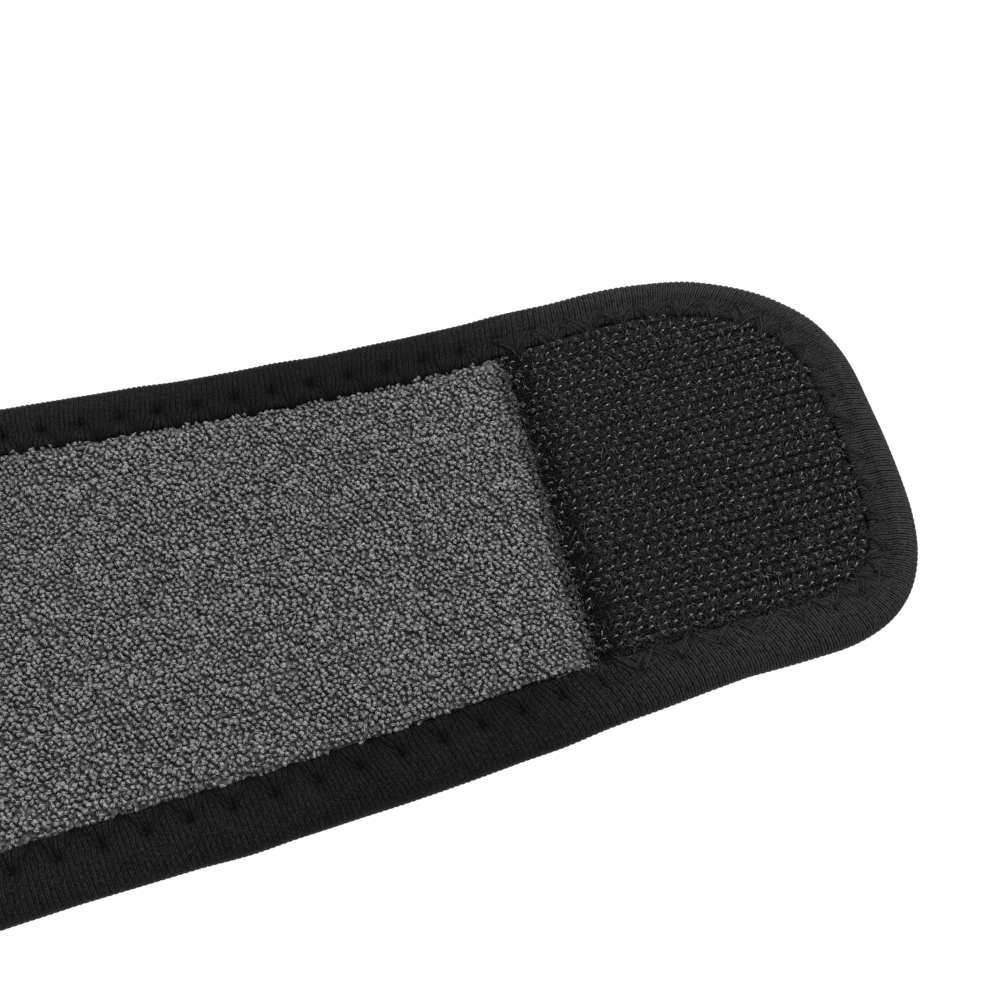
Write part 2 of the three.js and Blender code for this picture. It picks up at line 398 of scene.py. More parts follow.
def clearOfLip(x, y):
    # how far in from the binding's lip a point is, and where along the edge
    inward, along, nearX = nearEdge(x, y)
    return inward - reachAt(nearX), along


def holeOut(x):
    # how far out from the lip the needle holes are
    return binding["holeFromLip"] + (binding["holeAtHooks"] - binding["holeFromLip"]) * hookShare(x)


def lipDropAt(fromLip):
    # how far below the top the tape lies, straight between the section's rows
    out, drop = np.array(binding["lip"][binding["lipTurned"]:])[:, :2].T
    return np.interp(fromLip, out, drop)


def seamDepth(x):
    # share of the seam's dents that shows
    return 1 - binding["calm"] * hookShare(x)


def stitchShift(along):
    # how far the notches are moved along the edge
    return np.interp(along, *np.array(binding["stitchStart"]).T, period=edge["length"])


def stitchPhase(along):
    # signed distance along the edge to the nearest needle hole of the tape, and to the nearest notch
    turn = (along - stitchShift(along)) / stitchPitch
    toHole = (turn % 1 - 0.5) * stitchPitch
    toNotch = ((turn + 0.5) % 1 - 0.5) * stitchPitch
    return toHole, toNotch


def threadLine(toHole, hole):
    # how far out from the lip the seam thread runs: flat at the hole, steep at the notch
    share = np.abs(toHole) / (stitchPitch / 2)
    return hole - (hole + binding["notchPastLip"]) * share ** binding["legCurve"]


def bindingSection(reach):
    # across the tape: steps out from the lip, shares of the way to the half round, the half round by angles,
    # the same below, and one line inside the fold; returns inward, height, facing angle and whether it shows
    half = band["thick"] / 2
    lipOut, lipDrop, lipFacing = np.array(binding["lip"]).T
    shares, shareDrops = np.array(binding["flank"]).T
    angles = np.array(binding["round"])
    underOut, underRise, underFacing = np.array(binding["underLip"]).T
    reach = reach[:, None]
    hole = reach - binding["holeFromLip"]
    inward = np.hstack([
        reach - lipOut,
        hole + (half - hole) * shares,
        half - half * np.cos(np.radians(angles)) + 0 * reach,
        hole + (half - hole) * binding["underFlank"],
        reach - underOut,
        binding["foldLine"] + 0 * reach,
    ])
    height = np.concatenate([
        band["thick"] - lipDrop,
        band["thick"] - shareDrops,
        half + half * np.sin(np.radians(angles)),
        [0.0],
        underRise,
        [half],
    ])
    facing = np.concatenate([lipFacing, 90 + 0 * shares, angles, [-90], underFacing, [0]])
    shown = np.concatenate([[0.0], np.ones(len(facing) - 3), [0.0, 0.0]])  # none hidden in the fold
    return inward, height, np.radians(facing), shown


def ribColumns():
    # for each rib a column in its groove and two on it, by equal counts of ribs along the edge; the pitch is
    # longer where the tape is stretched round the tab
    stretch = pastHookEdge(edge["point"][:, 0], binding["stretchBlend"])
    pitch = binding["ribPitch"] + (binding["ribPitchAtHooks"] - binding["ribPitch"]) * stretch
    turns = np.r_[0, np.cumsum(1 / pitch)]
    ribs = round(turns[-1] * edge["length"] / len(pitch))
    samples = np.array(binding["ribSamples"])
    ribPlace = (np.arange(ribs)[:, None] + samples).ravel()
    start = np.interp(ribPlace / ribs, turns / turns[-1], np.r_[edge["run"], edge["length"]])
    groove = np.tile(np.r_[1, np.zeros(len(samples) - 1)], ribs)[:, None]
    return start, ribPlace, ribs, groove


def ribLean(start, inward, fromLip, hole, side, flat, depth):
    # distance along the edge: each rib leans as it goes in, and gathers to the notches by a sine
    amount, size = binding["slantWander"]
    slant = np.interp(start, *np.array(binding["slants"]).T, period=edge["length"])[:, None]
    slant = slant + amount * lattice(start, 0 * start, size, seed=3)[:, None]
    along = start[:, None] + slant * inward * side
    toNotch = stitchPhase(along)[1]
    pull, pullWide = binding["gather"]
    push, pushWide = binding["fan"]
    gather = (pull * bump(fromLip, pullWide) - push * bump(fromLip - hole, pushWide)) * depth
    return along - stitchPitch / (2 * np.pi) * gather * flat * np.sin(2 * np.pi * toNotch / stitchPitch)


def seamMarks(along, fromLip, hole):
    # bells about the holes, the notches and the thread: how far the tape puffs up less its dents, how far in
    # its lip is drawn, and the painted shade in its creases
    toHole, toNotch = stitchPhase(along)
    fromThread = fromLip - threadLine(toHole, hole)
    holeLong, holeWide = binding["holeSize"]
    atHole = bump(toHole, holeLong) * bump(fromLip - hole, holeWide)
    notchLong, notchWide = binding["notchSize"]
    atNotch = bump(toNotch, notchLong) * bump(fromLip, notchWide)
    threadDent = binding["threadDent"] * bump(fromThread, binding["threadWide"])
    dent = np.maximum(binding["holeDent"] * atHole, threadDent) + binding["notchDent"] * atNotch
    high, past, wide, gap = binding["puff"]
    puffs = high * bump(fromLip - hole - past, wide) * (1 - bump(toHole, gap))
    high, past, wide, long = binding["lipPuff"]
    puffs = puffs + high * bump(fromLip - past, wide) * bump(toHole, long)
    deep, wide, back = binding["scallop"]
    lip = bump(fromLip, wide) * (bump(toNotch, notchLong) - back) * deep
    dark, wide = binding["threadShade"]
    paintedCreaseShade = np.maximum(np.maximum(atHole, dark * bump(fromThread, wide)), atNotch)
    return puffs - dent, lip, paintedCreaseShade


def bindingSurface():
    # each column follows one rib: a distance along the edge, a way in from the edge, and a height less the
    # rib grooves and the seam's dents
    start, ribPlace, ribs, groove = ribColumns()
    first = onEdge(start, "point")[:, 0]
    inward, height, facing, shown = bindingSection(reachAt(first))
    fromLip = reachAt(first)[:, None] - inward
    hole = holeOut(first)[:, None]
    depth = seamDepth(first)[:, None]
    over = np.sign(np.sin(facing))  # 1 on top, where both lips count too, and -1 underneath
    flat = (np.abs(height - band["thick"] / 2) > binding["flatFrom"]) * shown
    along = ribLean(start, inward, fromLip, hole, over * shown, flat, depth)
    marks, lip, paintedCreaseShade = seamMarks(along, fromLip, hole)
    share, vary, size = binding["ribVary"]
    noiseY = inward + 20 * (over < 0)  # moved, so that the noise underneath is another one
    wander = lattice(start[:, None] + 0 * inward, noiseY, size, seed=5)
    deep = np.where(flat > 0, binding["ribDeep"], binding["ribDeepRound"])
    sink = -(groove * deep * (share + vary * wander)) * shown
    far, size, within = binding["sway"]
    sway = far * lattice(start, 0 * start, size, seed=6)[:, None] * bump(inward, within)
    inward = inward - sink * np.cos(facing) + lip * flat + sway
    ripple = binding["ripple"]
    side = np.where(over > 0, 1, -binding["underShare"])
    rise = side * flat * (ripple * wander + marks * depth - ripple)
    height = np.maximum(height + sink * np.sin(facing) + rise, binding["floorGap"])
    point = onEdge(along, "point") - onEdge(along, "out") * inward[..., None]
    height = height + liftAt(point[..., 0])
    across = np.r_[0, np.cumsum(np.hypot(np.diff(inward[0]), np.diff(height[0])))]
    # the tint is painted light and shade: painted shade in the seam's dents and creases, a painted sheen on
    # the rolled rim, and painted light growing along the band towards the tab
    plain, added, within = binding["rimPaintedSheen"]
    tint = (1 - paintedCreaseShade * flat * depth) * (plain + added * bump(inward, within))
    tint = tint * np.interp(point[..., 0], *np.array(binding["paler"]).T)
    return np.concatenate([point, height[..., None]], -1), ribPlace, ribs, across, tint


def ribbedKnit():
    # ribs with painted shade in the groove between them and a fainter painted shade down each, broken up by
    # loops and lint; the tint adds its painted light and shade
    finish = Finish("ribbed_knit", {"Specular IOR Level": 0.1})
    rib = finish.cloth().part("X").fraction()
    course = finish.cloth().part("Y")
    offCentre = abs(rib - 0.5)
    loops = ((course / binding["course"] + offCentre) * 2 * np.pi).sine()
    groove = offCentre.ease(0.3, 0.5)
    middle = 1 - offCentre.ease(0, 0.16)
    lint = finish.noise(3000, 3)
    grain = finish.noise(6500, 2)
    specks = finish.noise(4300, 1).ease(0.66, 0.76)
    patch = finish.noise(0.8, 1, finish.cloth())
    paintedRibShade = groove * (0.1 + patch) + middle * (0.3 - patch * 0.5 + finish.tint() * 0.35)
    dimShare = 1 - finish.tint().ease(0.6, 1.05)  # 1 where the painted light is low, away from the tab: there the groove shade is fainter at the rim
    paintedRibShade = paintedRibShade * (1.4 - dimShare * course.ease(2.5, 9) * 0.6)
    shade = 0.83 - dimShare * 0.07 - paintedRibShade + loops * 0.06 + (lint - 0.5) * 1.6
    shade = (shade + (grain - 0.5) * (2.0 + dimShare) + specks * 0.6) * finish.tint()
    finish.colour(shade.ease(0, 1.6), *binding["greys"])
    finish.roughness(0.7 + lint * 0.2)
    finish.relief(loops * 0.15 - paintedRibShade * 1.5 + lint + grain, 0.05)
    return finish.material


def makeBinding():
    # the columns joined both ways round; its map counts ribs along the edge, and millimetres across
    points, ribPlace, ribs, across, tint = bindingSurface()
    rows, columns = points.shape[:2]
    faces, row, column = gridFaces(rows, columns, True, True)
    ribUv = np.r_[ribPlace, ribs][row]
    acrossUv = np.r_[across, across[-1] + binding["foldUv"]][column]
    piece = addPiece("ribbed_binding", points.reshape(-1, 3), faces, ribbedKnit(),
                     uv=np.stack([ribUv, acrossUv], -1), tint=tint.ravel())
    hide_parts("edge_binding")
    return piece


edgeBinding = makeBinding()


# layers inside the binding: closed forms across the band at many places along it
def inset(side, distance, x):
    # y of the line that runs this far in from the outline's back or front half
    line = edge["point"] - edge["out"] * distance
    tabTip, plainTip = np.argmax(edge["point"][:, 0]), np.argmin(edge["point"][:, 0])
    spots = np.arange(len(line))
    back = (spots >= tabTip) & (spots <= plainTip)
    line = line[back if side == "back" else ~back]
    line = line[np.argsort(line[:, 0])]
    return np.interp(x, line[:, 0], line[:, 1])


def underBinding(pastLip, ease):
    # eases from 1 to 0: starts this far before the binding's lip, and takes this long
    start, long = ease
    return 1 - smooth((pastLip + start) / long)


def layerSurface(x, layer, topHeight, underHeight):
    # at each place along: a row of points over the top from front to back, and one under it, back again; the
    # heights are functions of the place along, across and past the binding's lip
    topRow, underRow = layer["rows"]
    front, back = (inset(side, layer["tuck"], x)[:, None] for side in ("front", "back"))
    across = front + (back - front) * np.r_[np.linspace(0, 1, topRow), np.linspace(1, 0, underRow)]
    along = x[:, None] + 0 * across
    isTop = np.r_[np.ones(topRow, bool), np.zeros(underRow, bool)]
    pastLip = clearOfLip(along.ravel(), across.ravel())[0].reshape(across.shape)
    height = np.where(isTop, topHeight(along, across, pastLip), underHeight(along, across, pastLip))
    return np.stack([along, across, height + liftAt(along)], -1)


def layerPiece(name, points, finish):
    # the rows joined round into a tube, with a fan of triangles over each end
    rows, columns = points.shape[:2]
    faces = gridFaces(rows, columns, closedColumns=True)[0]
    flat = points.reshape(-1, 3)
    ends = np.stack([points[0].mean(0), points[-1].mean(0)])
    ring = np.arange(columns)
    after = (ring + 1) % columns
    centre = rows * columns + 0 * ring
    last = (rows - 1) * columns
    fans = np.vstack([
        np.stack([centre, after, ring], 1),
        np.stack([centre + 1, last + ring, last + after], 1),
    ])
    return addPiece(name, np.vstack([flat, ends]), faces, finish, triangles=fans)


# grey terry: a knit ground and its loops
terry = {
    "ground": 4.42,
    "under": 2.25,
    "underHooks": 3.2,  # the ground, under the hook patch
    "hookStep": (-1.2, 0.3),  # before and after the hook edge
    "tuck": 4.6,  # how far in from the edge the ground stops
    "tuckEase": (1.4, 1.6),
    "tuckDrop": 1.2,
    "span": (-193.5, 192.5, 330),  # from, to, and places along
    "rows": (40, 6),  # points over the top and under it
    "groundBumps": (0.12, 1.1),
    "groundGreys": (0.045, 0.17),
    "pitch": (0.72, 0.55),  # loops along and across
    "steps": ((-280, 235), (-68, 69)),  # along and across, before those outside the field are dropped
    "drift": (0.22, 3.5),  # of the loops' rows, and over what length
    "shake": (0.13, 0.11),  # along and across
    "field": (-193, 0.3, 5),  # from, to past the hook edge, and in from the band's half width
    "clear": 0.0,  # loops keep this far from the binding
    "loop": (0.53, 0.38, 0.42),  # half length, width and height of a loop's top
    "vary": (0.68, 1.32),  # of those
    "droop": 0.6,  # of a loop's ends, as a share of its height
    "bend": 0.15,  # sideways, at its middle
    "middle": 4.7,  # height of a loop's middle
    "yaw": (60, 65),  # degrees: mean and spread of the loops' direction
    "yawDrift": (80, 2.8),
    "tilt": 14,
    "sinkAtLip": (0.22, 0.8),  # how deep, and how far from the lip
    "sinkAtNotch": (0.45, 0.7, 0.2, 0.8),  # how deep, how long, and where and how wide across
    "sinkAtHooks": (0.38, 1.9),
    "lumps": ((0.03, 2.1, 42), (0.02, 5.5, 43)),  # how high, over what length, and seed
    "uneven": 0.06,
    "tone": (0.5, 0.05, 3.2, 0.14),  # mean, drift and its length, and spread between loops
    "paintedShading": (-0.4, -0.38, 0.58, -0.6),  # painted light and shade: paleness of a loop's ends, sides, crown and foot, the crown painted lit
    "sunkShade": 0.9,
    "palest": 1.2,
    "twist": (2.7, 1.2),  # dark turns of the yarn along and across a loop
    "yarnGreys": (0.042, 0.38),
    "pieces": 4,
    "seed": 11,
}


def terryGroundFinish():
    # two greys by one noise, which is also the relief of the knit
    finish = Finish("terry_ground", {"Specular IOR Level": 0.1})
    knit = finish.noise(1500, 3)
    finish.colour(knit.ease(0.35, 0.75), *terry["groundGreys"])
    finish.roughness(0.8 + knit * 0.15)
    finish.relief(knit, 0.3)
    return finish.material


def makeTerryGround():
    # bumpy on top, lower under the binding and the hook patch, and flat below
    def top(along, across, pastLip):
        high, size = terry["groundBumps"]
        ground = terry["ground"] - terry["tuckDrop"] * underBinding(pastLip, terry["tuckEase"])
        ground = ground + high * lattice(along, across, size, seed=21)
        return ground + (terry["underHooks"] - ground) * pastHookEdge(along, terry["hookStep"])

    def below(along, across, pastLip):
        return terry["under"]

    points = layerSurface(np.linspace(*terry["span"]), terry, top, below)
    piece = layerPiece("terry_ground", points, terryGroundFinish())
    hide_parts("terry_lining")
    return piece


def loopPlaces(rng):
    # a staggered, shaken lattice over the terry field, kept clear of the binding and in order along the band
    stepX, stepY = terry["pitch"]
    i, j = np.meshgrid(*(np.arange(*steps) for steps in terry["steps"]), indexing="ij")
    x = (i * stepX + (j % 2) * stepX / 2).ravel()
    y = (j * stepY).ravel()
    far, size = terry["drift"]
    shakeX, shakeY = terry["shake"]
    x = x + far * lattice(x, y, size, seed=31) + rng.uniform(-shakeX, shakeX, x.shape)
    y = y + far * lattice(x, y, size, seed=32) + rng.uniform(-shakeY, shakeY, y.shape)
    plainX = np.clip(x, band["along"][0], band["along"][-1])
    width = np.where(y > 0, halfWidth("back", plainX), halfWidth("front", plainX))
    start, past, margin = terry["field"]
    keep = (np.abs(y) < width - margin) & (x > start) & (x < hookEdge + past)
    x, y = x[keep], y[keep]
    clear, along = clearOfLip(x, y)
    keep = np.flatnonzero(clear > terry["clear"])
    order = keep[np.argsort(x[keep], kind="stable")]
    return x[order], y[order], clear[order], along[order]


def loopWays(rng, x, y):
    # each loop's own directions, long, wide and up: turned about the upright, then leaned and rolled
    count = len(x)
    mean, spread = terry["yaw"]
    drift, size = terry["yawDrift"]
    yaw = np.radians(mean + drift * lattice(x, y, size, seed=41) + spread * rng.standard_normal(count))
    lean = np.radians(terry["tilt"] * rng.standard_normal(count))
    roll = np.radians(terry["tilt"] * rng.standard_normal(count))[:, None]
    longWay = np.stack([np.cos(yaw) * np.cos(lean), np.sin(yaw) * np.cos(lean), np.sin(lean)], 1)
    levelWay = np.stack([-np.sin(yaw), np.cos(yaw), 0 * yaw], 1)
    upright = np.cross(longWay, levelWay)
    wideWay = levelWay * np.cos(roll) + upright * np.sin(roll)
    upWay = upright * np.cos(roll) - levelWay * np.sin(roll)
    return np.stack([longWay, wideWay, upWay], 1)


def loopSink(x, clear, along):
    # bells along the binding, at each notch of it, and along the hook edge
    deep, wide = terry["sinkAtLip"]
    sink = deep * bump(clear, wide)
    deep, long, where, wide = terry["sinkAtNotch"]
    sink = sink + deep * bump(stitchPhase(along)[1], long) * bump(clear - where, wide)
    deep, wide = terry["sinkAtHooks"]
    return sink + deep * bump(x - hookEdge, wide)


def terryLoops(rng):
    # the top of a loop: a four-sided ring between two lowered ends, stretched, bent and turned its own way
    x, y, clear, along = loopPlaces(rng)
    count = len(x)
    low = -terry["droop"]
    shape = np.array([[-1, 0, low], [0, 1, 0], [0, 0, 1], [0, -1, 0], [0, 0, -1], [1, 0, low]])
    around = np.arange(4)
    after = (around + 1) % 4
    faces = np.vstack([
        np.stack([0 * around, 1 + after, 1 + around], 1),
        np.stack([5 + 0 * around, 1 + around, 1 + after], 1),
    ])
    ways = loopWays(rng, x, y)
    sink = loopSink(x, clear, along)
    lumps = sum(high * lattice(x, y, size, seed) for high, size, seed in terry["lumps"])
    lumps = lumps + terry["uneven"] * rng.standard_normal(count)
    height = terry["middle"] - sink + lumps + liftAt(x)
    stretched = shape * (np.array(terry["loop"]) * rng.uniform(*terry["vary"], (count, 3)))[:, None]
    stretched[:, 1:5, 1] += rng.normal(0, terry["bend"], count)[:, None]
    points = np.stack([x, y, height], 1)[:, None] + stretched @ ways
    mean, drift, size, spread = terry["tone"]
    tone = mean + drift * lattice(x, y, size, seed=44) + spread * rng.standard_normal(count)
    # painted light and shade: higher loops are painted paler, and loops sunk at the lip, at the notches and
    # by the hook edge are painted darker
    tone = tone + lumps - terry["sunkShade"] * sink
    ends, sides, crown, foot = terry["paintedShading"]
    paintedShading = np.array([ends, sides, crown, sides, foot, ends])
    return points, faces, np.clip(tone[:, None] + paintedShading, 0, terry["palest"]), shape[:, :2][faces]


def terryYarn():
    # loops light and dark by their tone and their painted light and shade, each with the turns of its yarn,
    # and fuzz over all
    finish = Finish("terry_yarn", {"Specular IOR Level": 0.25, "Sheen Weight": 0.05})
    fuzz = finish.noise(3400, 2)
    along, across = terry["twist"]
    turns = finish.cloth().part("X") * along + finish.cloth().part("Y") * across + finish.tint() * 3
    ply = (turns * np.pi).sine()
    shade = finish.tint() + (fuzz - 0.5) * 1.2 + ply * 0.27
    finish.colour(shade.ease(0, 1), *terry["yarnGreys"])
    finish.roughness(0.65 + fuzz * 0.25)
    finish.relief(fuzz + ply * 0.4, 0.2)
    return finish.material


def makeTerryLoops():
    # the loops shared out between a few pieces, in order along the band
    points, faces, tint, yarnUv = terryLoops(np.random.default_rng(terry["seed"]))
    finish = terryYarn()
    pieces = []
    for number, part in enumerate(np.array_split(np.arange(len(points)), terry["pieces"])):
        offset = (np.arange(len(part)) * points.shape[1])[:, None, None]
        pieces.append(addPiece(
            "terry_loops_" + str(number + 1),
            points[part].reshape(-1, 3),
            np.zeros((0, 4), int),
            finish,
            triangles=(faces[None] + offset).reshape(-1, 3),
            uv=np.tile(yarnUv, (len(part), 1, 1)),
            tint=tint[part].ravel(),
        ))
    return pieces


terryGround = makeTerryGround()
loopPieces = makeTerryLoops()


# black outer half, whose loop face lies underneath
outer = {
    "top": 1.95,
    "edgeUnder": 1.3,  # its lower side, under the binding
    "tuck": 2.6,  # how far in from the edge it stops
    "tuckEase": (0.6, 2.4),
    "span": (-196.5, 196.5, 300),  # from, to, and places along
    "rows": (6, 40),  # points over the top and under it
    "pile": (0.12, 1.0),
    "greys": (0.006, 0.032),
    "fill": 0.5,
}


def loopKnit():
    # two greys by a fine pile and a broad nap; the pile is also the relief
    finish = Finish("loop_knit", {"Specular IOR Level": 0.2, "Sheen Weight": 0.05})
    pile = finish.noise(2600, 4)
    nap = finish.noise(220, 2)
    finish.colour((pile * 0.7 + nap * 0.5).ease(0.3, 0.9), *outer["greys"])
    finish.roughness(0.75 + pile * 0.2)
    finish.relief(pile, 0.3)
    return finish.material


def makeOuterFace():
    # flat on top; below, a bumpy pile that rises to the binding
    def top(along, across, pastLip):
        return outer["top"]

    def below(along, across, pastLip):
        tucked = underBinding(pastLip, outer["tuckEase"])
        high, size = outer["pile"]
        pile = high * lattice(along, across, size, seed=51) + high
        return pile * (1 - tucked) + outer["edgeUnder"] * tucked

    points = layerSurface(np.linspace(*outer["span"]), outer, top, below)
    piece = layerPiece("outer_face", points, loopKnit())
    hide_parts("outer_shell")
    return piece


outerFace = makeOuterFace()


# hook tape on the tab: a woven base, and its rows of nylon hooks
hooks = {
    "top": 4.6,
    "under": 3.75,
    "tuck": 4.4,  # how far in from the edge it stops
    "tuckEase": (1.2, 2.0),
    "tuckDrop": 0.9,
    "rim": 0.6,  # length and depth of the rounding at its cut edge
    "rimPlaces": 4,  # along that rounding
    "span": (0.9, 37.8, 120),  # past the hook edge: from, to, and places along
    "rows": (80, 6),  # points over the top and under it
    "ridge": 0.08,
    "weave": (0.48, 0.54),
    "bare": (2, 5),  # past the hook edge, where the tape grows paler
    "grooveShading": (6, 30),  # and where the painted shade in its grooves grows stronger
    "tapeGreys": (0.001, 0.035),
    "pitch": 1.472,  # along a row
    "repeat": 4.19,  # across four rows
    "slip": -0.35,  # along, from one repeat to the next
    "steps": ((-16, 16), (-8, 8)),  # along and across, before those outside the field are dropped
    "first": (18.0, 1.78),  # a hook of the first kind: along from the hook edge, and across
    "grooves": -1.31,  # across from the first kind's row; another lies half a repeat on
    "turn": 0.6,  # degrees between the rows and the band
    "drift": (0.1, 0.08, 5),  # along and across, and over what length
    "shake": (0.04, 0.03),
    "untidy": (2.5, 1.8, 2.5),  # how much more at the rims, and how far from the binding and the cut edge
    "selvedge": 0.45,  # from the cut edge to the first hooks
    "clear": 0.35,  # hooks keep this far from the binding
    "thin": (0.5, 2.7, 0.8),  # a sparser strip behind the first hooks: share lost, where, and how wide
    "wire": 0.07,
    "wireSides": 5,
    "taper": (1.1, 1, 1, 1, 1, 1.15, 1.2),  # thickness at each station of a wire
    "leg": 0.66,
    "rise": 0.4,  # of the arch over the leg
    "sunk": 0.12,  # in the tape
    "sway": (8, 5),  # degrees: spread of the turn and the lean
    "reachVary": (0.92, 1.06),
    "tallVary": (0.94, 1.04),
    "glintPower": 5,  # how closely the painted glint keeps to the tip
    "toneVary": (0.7, 1.3),
    "nylonGreys": (0.004, 0.32),
    "seed": 7,
}
# the four kinds of row: place across and along, turn and half width of the arch, angle where it ends, and
# how pale the wire is painted at its foot and at its tip, the tip's paleness being a painted glint
hookRows = np.array([
    (-0.06, 0.0, 0, 0.31, -50, 0.62, 1.7),
    (-1.08, 0.77, 0, 0.31, -30, 0.58, 2.4),
    (-2.23, -0.03, 47, 0.35, 25, 0.62, 1.5),
    (-3.38, -0.37, 24, 0.37, 45, 0.45, 1.7),
])
rowSlope = np.tan(np.radians(hooks["turn"]))


def grooveCount(along, across):
    # half repeats across from a groove, square to the rows; takes arrays and wires alike
    row = across - (along - hookEdge) * rowSlope
    return (row - hooks["first"][1] - hooks["grooves"]) / (hooks["repeat"] / 2)


def hookTapeFinish():
    # a fine weave under lint, darker by the cut edge, with painted shade in the grooves between rows
    finish = Finish("hook_tape", {"Specular IOR Level": 0.03})
    along = finish.place().part("X")
    across = finish.place().part("Y")
    weaveX, weaveY = hooks["weave"]
    weave = (along * 2 * np.pi / (weaveX * mm)).sine() * (across * 2 * np.pi / (weaveY * mm)).sine()
    lint = finish.noise(3600, 2)
    inField = along.ease(*((hookEdge + past) * mm for past in hooks["bare"]))
    fromGroove = abs((grooveCount(along / mm, across / mm) + 0.5).fraction() - 0.5)
    shade = (weave * 0.05 + lint).ease(0.36, 0.72) * (0.3 + inField * 0.7)
    # painted shade in the grooves between rows, stronger towards the tab
    deep = 0.4 + along.ease(*((hookEdge + past) * mm for past in hooks["grooveShading"])) * 0.4
    finish.colour(shade * (1 - deep * (1 - fromGroove.ease(0.02, 0.15))), *hooks["tapeGreys"])
    finish.roughness(0.5 + lint * 0.3)
    finish.relief(weave * 0.15 + lint, 0.2)
    return finish.material


def hookNylon():
    # two greys by each wire's tint, which holds a painted glint at its tip, and a streak, which varies the
    # gloss too
    finish = Finish("hook_nylon", {"Specular IOR Level": 0.8})
    streak = finish.noise(2100, 2)
    finish.colour((finish.tint() + (streak - 0.5) * 0.4).ease(0, 2), *hooks["nylonGreys"])
    finish.roughness(0.18 + streak * 0.15)
    return finish.material


def makeHookTape():
    # ridges between the grooves by a cosine, a rounded cut edge, and a drop under the binding
    rim = hooks["rim"]
    x = np.r_[np.linspace(0, rim, hooks["rimPlaces"]), np.linspace(*hooks["span"])] + hookEdge

    def drop(pastLip):
        return hooks["tuckDrop"] * underBinding(pastLip, hooks["tuckEase"])

    def top(along, across, pastLip):
        ridge = -hooks["ridge"] * np.cos(2 * np.pi * grooveCount(along, across))
        rounded = rim * (1 - smooth((along - hookEdge) / rim))
        return hooks["top"] + ridge - rounded - drop(pastLip)

    def below(along, across, pastLip):
        return hooks["under"] - drop(pastLip)

    points = layerSurface(x, hooks, top, below)
    piece = layerPiece("hook_tape", points, hookTapeFinish())
    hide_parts("hook_patch")
    return piece


def levelSideways(path):
    # level directions square to each path
    sideways = np.cross(np.gradient(path, axis=1), [0, 0, 1.0])
    return sideways / np.linalg.norm(sideways, axis=-1, keepdims=True)


def sweepTubes(path, radius, sides, sideways):
    # rings of points about each path, in the plane of sideways and its cross with the path's direction
    ahead = np.gradient(path, axis=1)
    ahead /= np.linalg.norm(ahead, axis=-1, keepdims=True)
    upward = np.cross(sideways, ahead)
    angle = np.arange(sides) * 2 * np.pi / sides
    ring = np.cos(angle)[:, None] * sideways[:, :, None] + np.sin(angle)[:, None] * upward[:, :, None]
    return path[:, :, None] + radius[..., None, None] * ring


def tubePiece(name, rings, finish, tint):
    # every tube's rings joined by quads, and each end closed by a fan to its middle; one tint for each ring
    tubes, stations, sides = rings.shape[:3]
    faces = gridFaces(stations, sides, closedColumns=True)[0]
    each = stations * sides + 2
    points = np.concatenate([
        rings.reshape(tubes, -1, 3), rings[:, 0].mean(1)[:, None], rings[:, -1].mean(1)[:, None]
    ], 1)
    around = np.arange(sides)
    after = (around + 1) % sides
    last = (stations - 1) * sides
    fans = np.vstack([
        np.stack([each - 2 + 0 * around, after, around], 1),
        np.stack([each - 1 + 0 * around, last + around, last + after], 1),
    ])
    offset = (np.arange(tubes) * each)[:, None, None]
    tint = np.concatenate([np.repeat(tint, sides, axis=1), tint[:, :1], tint[:, -1:]], 1)
    return addPiece(
        name,
        points.reshape(-1, 3),
        (faces[None] + offset).reshape(-1, 4),
        finish,
        triangles=(fans[None] + offset).reshape(-1, 3),
        tint=tint.ravel(),
    )


def hookPlaces(rng):
    # four kinds of row, over and over, shaken most at the rims; some in the thin strip are left out
    along, across = (np.arange(*steps) for steps in hooks["steps"])
    i, j, kind = (v.ravel() for v in np.meshgrid(along, across, np.arange(len(hookRows)), indexing="ij"))
    rowY, rowX = hookRows[kind, :2].T
    x = hookEdge + hooks["first"][0] + i * hooks["pitch"] + j * hooks["slip"] + rowX
    y = hooks["first"][1] + j * hooks["repeat"] + rowY + rowSlope * (x - hookEdge)
    clear = clearOfLip(x, y)[0]
    more, nearLip, nearCut = hooks["untidy"]
    untidy = 1 + more * np.maximum(bump(clear, nearLip), bump(x - hookEdge, nearCut))
    driftX, driftY, size = hooks["drift"]
    shakeX, shakeY = hooks["shake"]
    x = x + driftX * lattice(x, y, size, seed=61) + shakeX * untidy * rng.standard_normal(x.shape)
    y = y + driftY * lattice(x, y, size, seed=62) + shakeY * untidy * rng.standard_normal(y.shape)
    lost, where, wide = hooks["thin"]
    thin = lost * bump(x - hookEdge - where, wide)
    inside = (x > hookEdge + hooks["selvedge"]) & (clear > hooks["clear"])
    inside = inside & (rng.uniform(0, 1, x.shape) > thin)
    return x[inside], y[inside], kind[inside], untidy[inside]


